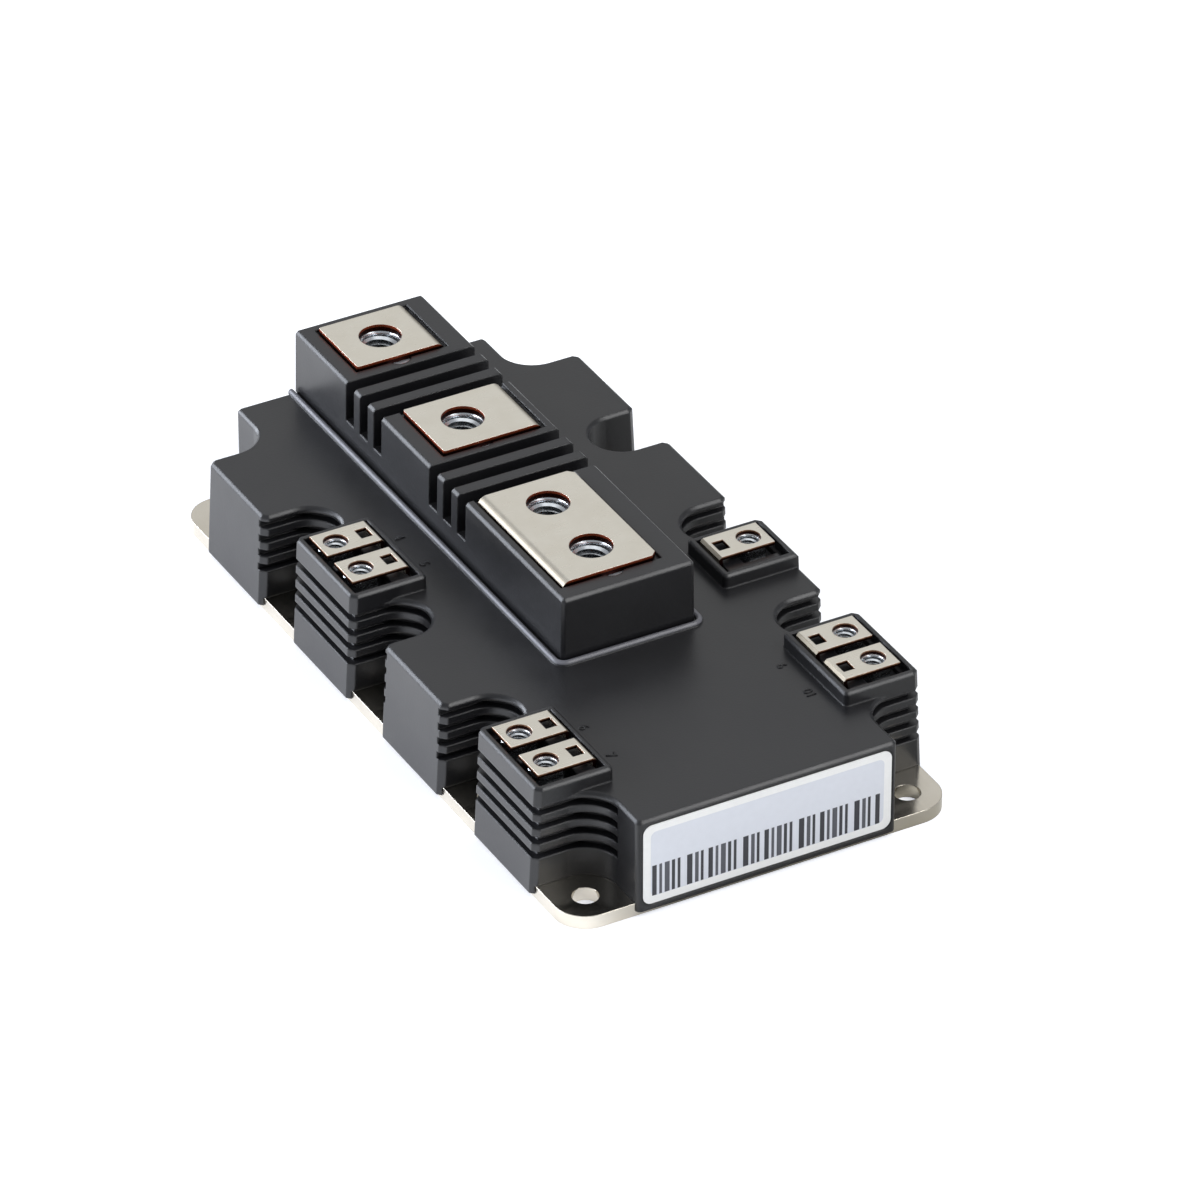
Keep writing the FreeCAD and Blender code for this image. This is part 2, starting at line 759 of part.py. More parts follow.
def silicone_gel():
    gel_x = half_length - wall - gel_gap
    gel_y = bolt_y - corner_notch_radius - wall - gel_gap
    gel = box(-gel_x, gel_x, -gel_y, gel_y, plate_thick, gel_top)
    outer = board_outer
    loops_top = track_top + chip_thick + wire_loop + wire_thick + gel_gap
    cutters = []
    room = board_length / 2 + gel_gap
    for x in board_xs:
        cutters.append(box(x - room, x + room, -outer - gel_gap, outer + gel_gap, 0, loops_top))
    g = gel_gap
    for t in trays:
        for hole in t["holes"]:
            lx = hole + aux_leg_offset
            cutters.append(side_box(t["side"], lx - aux_leg_width / 2 - g, lx + aux_leg_width / 2 + g,
                                    aux_foot_end - g, aux_leg + aux_thick + g, 0, gel_top + 1))
    for place in seats:
        ys = [y for y, z in foot_path(place)]
        low = min(ys) - power_thick / 2 - g
        high = max(ys) + power_thick / 2 + g
        for x in board_xs:
            cutters.append(box(x - foot_width / 2 - g, x + foot_width / 2 + g, low, high, 0, gel_top + 1))
    return cut_all(gel, cutters)


def label_plate(thick, gap, x):
    plate = box(x, x + thick, -label_length / 2 - gap, label_length / 2 + gap, label_bottom - gap,
                label_bottom + label_height + gap)
    edges = [e for e in plate.Edges if abs((e.Vertexes[1].Point - e.Vertexes[0].Point).x) > thick / 2]
    return plate.makeFillet(label_corner + gap, edges)


def bond_ribbons(chips):
    z = track_top + chip_thick
    return [wire(s, x, y + 1, wire_landing, z, track_top, ribbon_width) for x, s, y, long, wide in chips]


def gate_wires(chips):
    z = track_top + chip_thick
    return [wire(s, x + gate_wire_shift, y + gate_wire_start, gate_wire_end, z, track_top)
            for x, s, y, long, wide in chips]


def link_wires():
    # From the inner track of one row of boards to the middle track of the other
    return [wire(1, x + k, link_wire_start, link_wire_end, track_top, track_top)
            for x in board_xs for k in link_wire_xs]


def thermistor():
    sx, sy, sz = thermistor_size
    x = board_xs[0] - board_length / 2 + 2 * ceramic_margin
    y = (outer_track_start + board_outer - ceramic_margin - sy) / 2
    return side_box(-1, x, x + sx, y, y + sy, track_top, track_top + sz)


nodes = {}
nodes["base_plate"] = base_plate()
nodes["housing_shell"] = housing_shell()
nodes["terminal_tower"] = terminal_tower()
for place in seats:
    nodes[place["node"]] = power_terminal(place)
for number, place in enumerate(seats, 1):
    nodes["nut_carrier_%d" % number] = nut_carrier(place)
    nodes["nut_tab_%d" % number] = tab_shape(place, tab_gap, tab_bottom, tab_bottom + tab_thick)
power_xs = [x for place in seats for x in place["holes"]]
nut_z = power_under - nut_thick
for number, x in enumerate(power_xs, 1):
    nodes["power_nut_%d" % number] = hex_nut(nut_flats, nut_thick, nut_bore, x, power_axis, nut_z)
aux_places = [(t["side"], x) for t in trays for x in t["holes"]]
small = (small_nut_flats, small_nut_thick, small_nut_bore)
for number, (side, x) in enumerate(aux_places, 1):
    nodes["aux_terminal_%d" % number] = aux_terminal(side, x)
    nodes["aux_nut_%d" % number] = hex_nut(*small, x, side * aux_axis, small_nut_z())
places, ceramics, solder, backs, tracks = boards()
for number, ceramic in enumerate(ceramics, 1):
    nodes["substrate_%d" % number] = ceramic
igbts = [(x + k * igbt_x, s, igbt_y, igbt_length, igbt_width) for x, s in places for k in (-1, 1)]
diodes = [(x + k * diode_x, s, diode_y, diode_length, diode_width) for x, s in places for k in (-1, 1)]
groups = {
    "plate_solder": solder,
    "backside_copper": backs,
    "copper_tracks": tracks,
    "igbt_chips": [chip(*place) for place in igbts],
    "diode_chips": [chip(*place) for place in diodes],
    "bond_ribbons": bond_ribbons(igbts + diodes),
    "gate_wires": gate_wires(igbts),
    "link_wires": link_wires(),
}
for name, shapes in groups.items():
    nodes[name] = Part.makeCompound(shapes)
nodes["thermistor"] = thermistor()
nodes["silicone_gel"] = silicone_gel()
nodes["label"] = label_plate(label_thick, 0.0, half_length - label_recess)

for name, shape in nodes.items():
    shape.exportStep("parts/%s.step" % name)
    print(name, len(shape.Solids), shape.isValid(), round(shape.Volume, 1))
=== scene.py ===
import math

import bpy
from mathutils import Matrix, Vector


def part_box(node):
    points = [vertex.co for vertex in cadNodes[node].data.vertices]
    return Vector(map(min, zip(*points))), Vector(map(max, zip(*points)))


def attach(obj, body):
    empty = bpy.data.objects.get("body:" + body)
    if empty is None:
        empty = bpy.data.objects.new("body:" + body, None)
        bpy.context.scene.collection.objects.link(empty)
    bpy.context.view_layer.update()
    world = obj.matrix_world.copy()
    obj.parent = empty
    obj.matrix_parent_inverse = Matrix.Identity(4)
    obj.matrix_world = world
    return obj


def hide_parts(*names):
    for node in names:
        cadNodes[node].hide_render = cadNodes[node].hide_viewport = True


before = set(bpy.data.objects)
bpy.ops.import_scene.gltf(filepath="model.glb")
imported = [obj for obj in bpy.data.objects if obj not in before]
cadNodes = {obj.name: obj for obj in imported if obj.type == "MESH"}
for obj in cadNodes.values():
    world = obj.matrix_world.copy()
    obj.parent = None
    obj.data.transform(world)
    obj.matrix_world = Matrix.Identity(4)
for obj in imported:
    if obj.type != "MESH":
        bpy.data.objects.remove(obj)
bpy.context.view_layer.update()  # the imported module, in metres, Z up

mm = 0.001
deckTop = 22.6 * mm  # the housing's flat top; no box of the frame ends there
print("frame loaded:", len(cadNodes), "nodes")


def linear(hexColour):
    # a colour as a picture editor shows it, turned to the linear values that the shader wants
    channels = []
    for start in (1, 3, 5):
        value = int(hexColour[start:start + 2], 16) / 255
        channels.append(value / 12.92 if value <= 0.04045 else ((value + 0.055) / 1.055) ** 2.4)
    return (*channels, 1.0)


def clearSelection():
    if bpy.context.object and bpy.context.object.mode != "OBJECT":
        bpy.ops.object.mode_set(mode="OBJECT")
    bpy.ops.object.select_all(action="DESELECT")


def pickOnly(piece):
    clearSelection()
    piece.select_set(True)
    bpy.context.view_layer.objects.active = piece


def pickFaces(piece, wanted):
    # leaves edit mode open with only the wanted faces selected
    pickOnly(piece)
    for vertex in piece.data.vertices:
        vertex.select = False
    for edge in piece.data.edges:
        edge.select = False
    for face in piece.data.polygons:
        face.select = bool(wanted(face.center, face.normal))
    bpy.ops.object.mode_set(mode="EDIT")
    bpy.ops.mesh.select_mode(type="FACE")


def leaveEdit():
    bpy.ops.object.mode_set(mode="OBJECT")


def weldMesh(piece, distance):
    # joins the points that coincide and turns every face outward
    pickOnly(piece)
    bpy.ops.object.mode_set(mode="EDIT")
    bpy.ops.mesh.select_all(action="SELECT")
    bpy.ops.mesh.remove_doubles(threshold=distance)
    bpy.ops.mesh.normals_make_consistent(inside=False)
    leaveEdit()


def applyModifier(piece, kind, **settings):
    pickOnly(piece)
    modifier = piece.modifiers.new(kind.lower(), kind)
    for name, value in settings.items():
        setattr(modifier, name, value)
    bpy.ops.object.modifier_apply(modifier=modifier.name)


def settle(piece):
    # the place goes into the mesh, and the object stays at the origin
    pickOnly(piece)
    bpy.ops.object.transform_apply(location=True, rotation=True, scale=True)


def handOver(piece, name, material):
    piece.name = name
    piece.data.name = name
    piece.data.materials.clear()
    piece.data.materials.append(material)
    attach(piece, "root")
    return piece


def copyTo(piece, name, shift):
    twin = piece.copy()
    twin.data = piece.data.copy()
    twin.data.transform(Matrix.Translation(shift))
    bpy.context.scene.collection.objects.link(twin)
    twin.name = name
    twin.data.name = name
    return twin


def boxMiddle(nodeName):
    low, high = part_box(nodeName)
    return (low + high) / 2, low, high


def feed(tree, node, sockets):
    # each socket gets a fixed value or a link; a node stands for its first output
    for name, value in sockets.items():
        if isinstance(value, bpy.types.Node):
            value = value.outputs[0]
        if isinstance(value, bpy.types.NodeSocket):
            tree.links.new(value, node.inputs[name])
        else:
            node.inputs[name].default_value = value


def addNode(tree, kind, sockets=None, **settings):
    # a number stands for a socket whose name repeats: a Mix node's colours are 6 and 7, and it gives 2
    node = tree.nodes.new(kind)
    for name, value in settings.items():
        setattr(node, name, value)
    feed(tree, node, sockets or {})
    return node


def emptyTree(owner):
    owner.use_nodes = True
    owner.node_tree.nodes.clear()
    return owner.node_tree


def startMaterial(name):
    material = bpy.data.materials.new(name)
    tree = emptyTree(material)
    output = addNode(tree, "ShaderNodeOutputMaterial")
    shader = addNode(tree, "ShaderNodeBsdfPrincipled")
    feed(tree, output, {"Surface": shader})
    place = addNode(tree, "ShaderNodeTexCoord").outputs["Object"]
    return material, tree, shader, place


# The camera stands where the photograph was taken from

photoCamera = {
    "target": (3.72 * mm, 7.77 * mm, 15 * mm),
    "yaw": 61.10,
    "pitch": 33.58,
    "distance": 1.787,
    "lens": 264.24,
}

yaw, pitch = math.radians(photoCamera["yaw"]), math.radians(photoCamera["pitch"])
back = Vector((math.sin(yaw) * math.cos(pitch), -math.cos(yaw) * math.cos(pitch), math.sin(pitch)))
clearSelection()
bpy.ops.object.camera_add(location=Vector(photoCamera["target"]) + back * photoCamera["distance"])
camera = bpy.context.object
camera.name = "photoCamera"
camera.rotation_euler = back.to_track_quat("Z", "Y").to_euler()
camera.data.lens = photoCamera["lens"]
camera.data.sensor_width = 36
camera.data.clip_start = 0.05
camera.data.clip_end = 50
bpy.context.scene.camera = camera
bpy.context.scene.view_settings.view_transform = "Standard"

studio = {
    "floorSize": 8.0,
    "floorDrop": 0.03 * mm,
    "floorColour": "#ececea",
    "glowColour": "#f2f5ff",
    "floorGlow": 0.5,  # to the camera only: the floor shows white and keeps the shadow
    # to the shine only: a white card that lies on the floor to the left and fades out at its edges
    "cardGlow": 1.0,
    "cardSide": (-0.04, -0.02),  # y in metres, where the fading starts and ends
    "cardFront": (0.085, 0.10),  # and x
    "worldColour": "#aeb0b4",
    "worldLight": 1.0,
    "lampAim": (0, 0, 0.02),
    "lamps": [
        # name, place in metres, width and height of the soft box, power in watts, colour
        ("leftStrip", (-0.69, -0.90, 0.35), 1.7, 0.40, 25.0, "#eef4ff"),
        ("topSoftbox", (-0.20, 0.05, 1.15), 0.9, 0.9, 2.2, "#ffffff"),
        ("rearSoftbox", (-1.00, 0.56, 0.72), 0.8, 0.8, 0.8, "#fffdf8"),
        ("rightSoftbox", (0.66, 0.48, 0.87), 0.5, 0.5, 4.8, "#ffffff"),
        ("frontSoftbox", (1.15, 0.30, 0.30), 0.7, 0.4, 1.8, "#ffffff"),
    ],
}


def buildFloor():
    clearSelection()
    bpy.ops.mesh.primitive_plane_add(size=studio["floorSize"], location=(0, 0, -studio["floorDrop"]))
    floor = bpy.context.object
    floor.name = "studioFloor"
    material = bpy.data.materials.new("paintedStudioFloor")
    tree = emptyTree(material)
    ray = addNode(tree, "ShaderNodeLightPath").outputs
    place = addNode(tree, "ShaderNodeTexCoord").outputs["Object"]
    spot = addNode(tree, "ShaderNodeSeparateXYZ", {0: place}).outputs
    (sideIn, sideOut), (frontIn, frontOut) = studio["cardSide"], studio["cardFront"]
    beside = addNode(tree, "ShaderNodeMapRange", {"Value": spot["Y"], "From Min": sideIn, "From Max": sideOut,
                                                  "To Min": studio["cardGlow"], "To Max": 0.0})
    behind = addNode(tree, "ShaderNodeMapRange", {"Value": spot["X"], "From Min": frontIn, "From Max": frontOut,
                                                  "To Min": 1.0, "To Max": 0.0})
    card = addNode(tree, "ShaderNodeMath", {0: beside, 1: behind}, operation="MULTIPLY")
    card = addNode(tree, "ShaderNodeMath", {0: card, 1: ray["Is Glossy Ray"]}, operation="MULTIPLY")
    glow = addNode(tree, "ShaderNodeMath", {0: ray["Is Camera Ray"], 1: studio["floorGlow"], 2: card},
                   operation="MULTIPLY_ADD")
    matt = addNode(tree, "ShaderNodeBsdfDiffuse", {"Color": linear(studio["floorColour"]), "Roughness": 1.0})
    shine = addNode(tree, "ShaderNodeEmission", {"Color": linear(studio["glowColour"]), "Strength": glow})
    both = addNode(tree, "ShaderNodeAddShader", {0: matt, 1: shine})
    addNode(tree, "ShaderNodeOutputMaterial", {"Surface": both})
    floor.data.materials.append(material)


def buildLights():
    world = bpy.data.worlds.new("paleStudio")
    bpy.context.scene.world = world
    tree = emptyTree(world)
    sky = addNode(tree, "ShaderNodeBackground", {"Color": linear(studio["worldColour"]),
                                                 "Strength": studio["worldLight"]})
    addNode(tree, "ShaderNodeOutputWorld", {"Surface": sky})

    for name, place, wide, tall, power, colour in studio["lamps"]:
        clearSelection()
        bpy.ops.object.light_add(type="AREA", location=place)
        lamp = bpy.context.object
        lamp.name = name
        lamp.data.shape = "RECTANGLE"
        lamp.data.size = wide
        lamp.data.size_y = tall
        lamp.data.energy = power
        lamp.data.color = linear(colour)[:3]
        lamp.rotation_euler = (Vector(place) - Vector(studio["lampAim"])).to_track_quat("Z", "Y").to_euler()


buildFloor()
buildLights()
print("camera, floor and lights are in place")


# Materials

noiseSpan = {"From Min": 0.3, "From Max": 0.7}  # nearly all of a noise texture lies between these


def collarMask(tree, place, collar):
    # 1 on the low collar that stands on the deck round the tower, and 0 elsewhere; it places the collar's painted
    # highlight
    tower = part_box("terminal_tower")[1]
    bottom = deckTop + collar["low"]
    spot = addNode(tree, "ShaderNodeSeparateXYZ", {0: place}).outputs
    aside = addNode(tree, "ShaderNodeMath", {0: spot["Y"]}, operation="ABSOLUTE")
    beside = addNode(tree, "ShaderNodeMath", {0: aside, 1: tower.y + collar["gap"]}, operation="GREATER_THAN")
    before = addNode(tree, "ShaderNodeMath", {0: spot["X"], 1: tower.x + collar["frontGap"]},
                     operation="GREATER_THAN")
    near = addNode(tree, "ShaderNodeMath", {0: aside, 1: tower.y + collar["reach"]}, operation="LESS_THAN")
    below = addNode(tree, "ShaderNodeMath", {0: spot["Z"], 1: deckTop + collar["high"]}, operation="LESS_THAN")
    above = addNode(tree, "ShaderNodeMapRange", {"Value": spot["Z"], "From Min": bottom,
                                                 "From Max": bottom + collar["fade"]})
    mask = addNode(tree, "ShaderNodeMath", {0: beside, 1: before}, operation="MAXIMUM")
    for part in (near, below, above):
        mask = addNode(tree, "ShaderNodeMath", {0: mask, 1: part}, operation="MULTIPLY")
    return mask


def mouldedThermoplastic():
    # Glass-filled black PBT, injection moulded in a spark-eroded tool: an even fine grain that turns
    # the shine into a soft grey sheen, with faint cloudy flow marks.
    look = {
        "colour": "#161618",
        "flowColour": "#1e1e20",
        "flowSize": 14 * mm,
        "flowRoughness": 0.55,
        "grainSize": 0.45 * mm,  # real grain about 0.1 mm, drawn coarser so that it shows
        "grainDepth": 0.03 * mm,
        "grainStrength": 0.45,
        "edgeRound": 0.6 * mm,
        "roughness": (0.30, 0.38),
        "ior": 1.52,
        "rubbed": "#6a6a70",  # the low collar round the tower is painted pale grey, a painted highlight for the light line its edge catches; it reaches out from the tower's wall and front, and up from the deck
        # out from the tower's wall and front, and up from the deck
        "collar": {"gap": 0.3 * mm, "frontGap": 0.4 * mm, "reach": 2.1 * mm,
                   "low": 0.15 * mm, "fade": 0.3 * mm, "high": 0.95 * mm},
    }
    material, tree, shader, place = startMaterial("mouldedBlackPbt")
    flow = addNode(tree, "ShaderNodeTexNoise", {"Vector": place, "Scale": 1 / look["flowSize"], "Detail": 3.0,
                                                "Roughness": look["flowRoughness"]})
    grain = addNode(tree, "ShaderNodeTexNoise", {"Vector": place, "Scale": 1 / look["grainSize"], "Detail": 2.0})
    body = addNode(tree, "ShaderNodeMix", {0: flow, 6: linear(look["colour"]), 7: linear(look["flowColour"])},
                   data_type="RGBA")
    # painted highlight: the collar gets a pale grey in place of the light line that its edge would catch
    colour = addNode(tree, "ShaderNodeMix", {0: collarMask(tree, place, look["collar"]), 6: body.outputs[2],
                                             7: linear(look["rubbed"])}, data_type="RGBA")
    satin = addNode(tree, "ShaderNodeMapRange", {"Value": flow, **noiseSpan, "To Min": look["roughness"][0],
                                                 "To Max": look["roughness"][1]})
    soft = addNode(tree, "ShaderNodeBevel", {"Radius": look["edgeRound"]}, samples=4)
    relief = addNode(tree, "ShaderNodeBump", {"Strength": look["grainStrength"], "Distance": look["grainDepth"],
                                              "Height": grain, "Normal": soft})
    feed(tree, shader, {"Base Color": colour.outputs[2], "Roughness": satin, "Normal": relief,
                        "IOR": look["ior"]})
    return material


def platedStrip(name, nodeName, padThick, copperLight, copperDark):
    # Copper strip, nickel plated before it is stamped: a warm satin silver face with faint drawing
    # marks, and bare copper on every sheared edge, bright where the punch went in; below, painted near-black,
    # partly torn copper and partly painted shade.
    look = {
        "nickel": "#e3dfd4",
        "nickelWorn": "#d7d1c3",
        "blotchSize": 5 * mm,
        "bend": "#a39b8c",  # bending crazes the plating and makes it duller there; the darker colour is also painted shade that damps the bend's highlight
        "bentFrom": (0.99, 0.85),  # upward part of the normal where a bend starts, and where it is full
        "torn": "#2a0f0b",
        "brightBand": 0.36,  # share of the thickness
        "bandFade": (-0.15 * mm, 0.1 * mm),
        "sidewaysEdge": 0.75,  # a face whose normal points more sideways than this is sheared
        "steepEdge": 0.4,  # and so is one of the pad whose normal points less upward than this
        "padSlack": 0.05 * mm,
        "markSize": 0.5 * mm,
        "markStretch": (1.0, 0.08, 1.0),
        "markDepth": 0.01 * mm,
        "markStrength": 0.12,
        "edgeRound": 0.22 * mm,
        "roughness": (0.26, 0.36),
        "bendRoughness": 0.2,  # comes on top
    }
    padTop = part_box(nodeName)[1].z
    bandLow = padTop - padThick * look["brightBand"]
    material, tree, shader, place = startMaterial(name)
    normal = addNode(tree, "ShaderNodeNewGeometry").outputs["True Normal"]
    facing = addNode(tree, "ShaderNodeSeparateXYZ", {0: normal}).outputs
    height = addNode(tree, "ShaderNodeSeparateXYZ", {0: place}).outputs["Z"]
    sideways = addNode(tree, "ShaderNodeMath", {0: facing["X"]}, operation="ABSOLUTE")
    upward = addNode(tree, "ShaderNodeMath", {0: facing["Z"]}, operation="ABSOLUTE")

    # where the bare edges, the bright band on them and the bends are
    sheared = addNode(tree, "ShaderNodeMath", {0: sideways, 1: look["sidewaysEdge"]}, operation="GREATER_THAN")
    steep = addNode(tree, "ShaderNodeMath", {0: upward, 1: look["steepEdge"]}, operation="LESS_THAN")
    inPad = addNode(tree, "ShaderNodeMath", {0: height, 1: padTop - padThick - look["padSlack"]},
                    operation="GREATER_THAN")
    rim = addNode(tree, "ShaderNodeMath", {0: steep, 1: inPad}, operation="MULTIPLY")
    cut = addNode(tree, "ShaderNodeMath", {0: sheared, 1: rim}, operation="MAXIMUM")
    band = addNode(tree, "ShaderNodeMapRange", {"Value": height, "From Min": bandLow + look["bandFade"][0],
                                                "From Max": bandLow + look["bandFade"][1]})
    bent = addNode(tree, "ShaderNodeMapRange", {"Value": upward, "From Min": look["bentFrom"][0],
                                                "From Max": look["bentFrom"][1]})

    blotch = addNode(tree, "ShaderNodeTexNoise", {"Vector": place, "Scale": 1 / look["blotchSize"], "Detail": 3.0})
    drawn = addNode(tree, "ShaderNodeMapping", {"Vector": place, "Scale": look["markStretch"]})
    marks = addNode(tree, "ShaderNodeTexNoise", {"Vector": drawn, "Scale": 1 / look["markSize"], "Detail": 3.0})
    nickel = addNode(tree, "ShaderNodeMix", {0: blotch, 6: linear(look["nickel"]), 7: linear(look["nickelWorn"])},
                     data_type="RGBA")
    # on the bends the nickel turns darker: partly crazed plating, partly painted shade over the bend's highlight
    nickel = addNode(tree, "ShaderNodeMix", {0: bent, 6: nickel.outputs[2], 7: linear(look["bend"])},
                     data_type="RGBA")
    copper = addNode(tree, "ShaderNodeMix", {0: marks, 6: linear(copperLight), 7: linear(copperDark)},
                     data_type="RGBA")
    # below the bright band the edge is painted near-black: the torn copper, darkened further as painted shade
    edge = addNode(tree, "ShaderNodeMix", {0: band, 6: linear(look["torn"]), 7: copper.outputs[2]},
                   data_type="RGBA")
    colour = addNode(tree, "ShaderNodeMix", {0: cut, 6: nickel.outputs[2], 7: edge.outputs[2]}, data_type="RGBA")
    satin = addNode(tree, "ShaderNodeMapRange", {"Value": marks, **noiseSpan, "To Min": look["roughness"][0],
                                                 "To Max": look["roughness"][1]})
    satin = addNode(tree, "ShaderNodeMath", {0: bent, 1: look["bendRoughness"], 2: satin},
                    operation="MULTIPLY_ADD")
    soft = addNode(tree, "ShaderNodeBevel", {"Radius": look["edgeRound"]}, samples=4)
    relief = addNode(tree, "ShaderNodeBump", {"Strength": look["markStrength"], "Distance": look["markDepth"],
                                              "Height": marks, "Normal": soft})
    feed(tree, shader, {"Base Color": colour.outputs[2], "Roughness": satin, "Normal": relief, "Metallic": 1.0})
    return material


def nickelledPlate():
    # Rolled copper plate, nickel plated: a slightly warm silver with long rolling marks, smoother and a
    # little darker than the terminals.
    look = {
        "nickel": "#d8d3c8",
        "shade": "#c3bcae",
        "cloud": 9 * mm,
        "rollMark": 0.35 * mm,
        "rollStretch": (0.05, 1.0, 1.0),
        "markDepth": 0.01 * mm,
        "markStrength": 0.15,
        "edgeRound": 0.25 * mm,
        "roughness": (0.13, 0.22),
    }
    material, tree, shader, place = startMaterial("nickelledCopperPlate")
    rolled = addNode(tree, "ShaderNodeMapping", {"Vector": place, "Scale": look["rollStretch"]})
    marks = addNode(tree, "ShaderNodeTexNoise", {"Vector": rolled, "Scale": 1 / look["rollMark"], "Detail": 4.0})
    cloud = addNode(tree, "ShaderNodeTexNoise", {"Vector": place, "Scale": 1 / look["cloud"], "Detail": 2.0})
    colour = addNode(tree, "ShaderNodeMix", {0: cloud, 6: linear(look["nickel"]), 7: linear(look["shade"])},
                     data_type="RGBA")
    satin = addNode(tree, "ShaderNodeMapRange", {"Value": marks, **noiseSpan, "To Min": look["roughness"][0],
                                                 "To Max": look["roughness"][1]})
    soft = addNode(tree, "ShaderNodeBevel", {"Radius": look["edgeRound"]}, samples=4)
    relief = addNode(tree, "ShaderNodeBump", {"Strength": look["markStrength"], "Distance": look["markDepth"],
                                              "Height": marks, "Normal": soft})
    feed(tree, shader, {"Base Color": colour.outputs[2], "Roughness": satin, "Normal": relief, "Metallic": 1.0})
    return material


def twoTones(name, light, dark, patch, roughness, depth, **sockets):
    # two close tones that drift over the patch size, and a roughness and a relief that follow them, so
    # that nothing looks like flat paint
    material, tree, shader, place = startMaterial(name)
    drift = addNode(tree, "ShaderNodeTexNoise", {"Vector": place, "Scale": 1 / patch, "Detail": 3.0})
    colour = addNode(tree, "ShaderNodeMix", {0: drift, 6: linear(light), 7: linear(dark)}, data_type="RGBA")
    satin = addNode(tree, "ShaderNodeMapRange", {"Value": drift, **noiseSpan, "To Min": roughness[0],
                                                 "To Max": roughness[1]})
    relief = addNode(tree, "ShaderNodeBump", {"Strength": 0.2, "Distance": depth, "Height": drift})
    feed(tree, shader, {"Base Color": colour.outputs[2], "Roughness": satin, "Normal": relief, **sockets})
    return material


def plainMetal(name, light, dark, patch, roughness, depth):
    return twoTones(name, light, dark, patch, roughness, depth, Metallic=1.0)


def plainInsulator(name, light, dark, patch, roughness, ior, depth):
    # films, inks, ceramic and lacquer
    return twoTones(name, light, dark, patch, roughness, depth, IOR=ior)


def siliconeGel():
    # Clear soft potting silicone: water-clear with a weak lens at its skin.
    look = {
        "rippleSize": 8 * mm,
        "rippleDepth": 0.1 * mm,
        "rippleStrength": 0.1,
        "colour": "#f4f6f4",
        "clearness": 0.9,
        "roughness": 0.06,
        "ior": 1.41,
    }
    material, tree, shader, place = startMaterial("clearSiliconeGel")
    ripple = addNode(tree, "ShaderNodeTexNoise", {"Vector": place, "Scale": 1 / look["rippleSize"], "Detail": 1.0})
    relief = addNode(tree, "ShaderNodeBump", {"Strength": look["rippleStrength"],
                                              "Distance": look["rippleDepth"], "Height": ripple})
    feed(tree, shader, {"Base Color": linear(look["colour"]), "Transmission Weight": look["clearness"],
                        "Roughness": look["roughness"], "IOR": look["ior"], "Normal": relief})
    return material


finishes = {
    "moulded": mouldedThermoplastic(),
    "powerStrip": platedStrip("nickelledPowerStrip", "ac_terminal", 1.5 * mm, "#b25a3a", "#7c3420"),
    "auxStrip": platedStrip("nickelledAuxStrip", "aux_terminal_1", 0.8 * mm, "#c09474", "#8f6248"),
    "plate": nickelledPlate(),
    # zinc plated, cold formed steel: bluish bright, with small soft dents
    "steel": plainMetal("zincPlatedSteel", "#d9dde0", "#bfc4c8", 0.9 * mm, (0.20, 0.30), 0.01 * mm),
    # the same zinc, tumbled and frosted; its paler colour is a painted highlight, so that the small tabs look lit
    "tab": plainMetal("tumbledZincSteel", "#edf1f5", "#e2e7ec", 0.6 * mm, (0.50, 0.60), 0.01 * mm),
    # soft solder that set in air: grey, a little frosted
    "solder": plainMetal("setSoftSolder", "#b9babb", "#9d9fa1", 0.6 * mm, (0.34, 0.5), 0.02 * mm),
    # direct-bonded copper foil: salmon pink with visible crystal grains
    "copper": plainMetal("bondedCopperFoil", "#d08a66", "#b87352", 0.8 * mm, (0.3, 0.42), 0.01 * mm),
    # top metal of a power chip: even pale aluminium with a fine cell pattern
    "silicon": plainMetal("metallisedSilicon", "#8f949b", "#72777f", 0.25 * mm, (0.18, 0.28), 0.002 * mm),
    # drawn soft aluminium: bright, slightly scuffed by the bonding tool
    "aluminium": plainMetal("drawnAluminiumWire", "#d9dadb", "#c2c4c6", 0.3 * mm, (0.22, 0.34), 0.005 * mm),
    # sintered alumina tile: off-white, matt, finely speckled
    "ceramic": plainInsulator("sinteredAlumina", "#ece9e2", "#e0dcd3", 0.4 * mm, (0.5, 0.62), 1.76, 0.01 * mm),
    # glazed sensor body: dark green-black enamel
    "sensor": plainInsulator("glazedSensorBody", "#27302c", "#1c2320", 0.5 * mm, (0.2, 0.3), 1.5, 0.005 * mm),
    # white polyester film label: smooth and slightly glossy, with the wall's grain faintly through it
    "film": plainInsulator("whitePolyesterFilm", "#f4f4f3", "#ebebea", 1.2 * mm, (0.30, 0.38), 1.57, 0.006 * mm),
    # printed tint and inks: matter than the film, and not quite even
    "tint": plainInsulator("printedPaleTint", "#dde0e8", "#d7dae2", 1.5 * mm, (0.40, 0.48), 1.5, 0.003 * mm),
    "inkDark": plainInsulator("printedDarkInk", "#2e2e33", "#3c3c42", 0.5 * mm, (0.42, 0.52), 1.5, 0.003 * mm),
    "inkMid": plainInsulator("printedMidInk", "#4c4d54", "#5a5b62", 0.5 * mm, (0.42, 0.52), 1.5, 0.003 * mm),
    "gel": siliconeGel(),
}

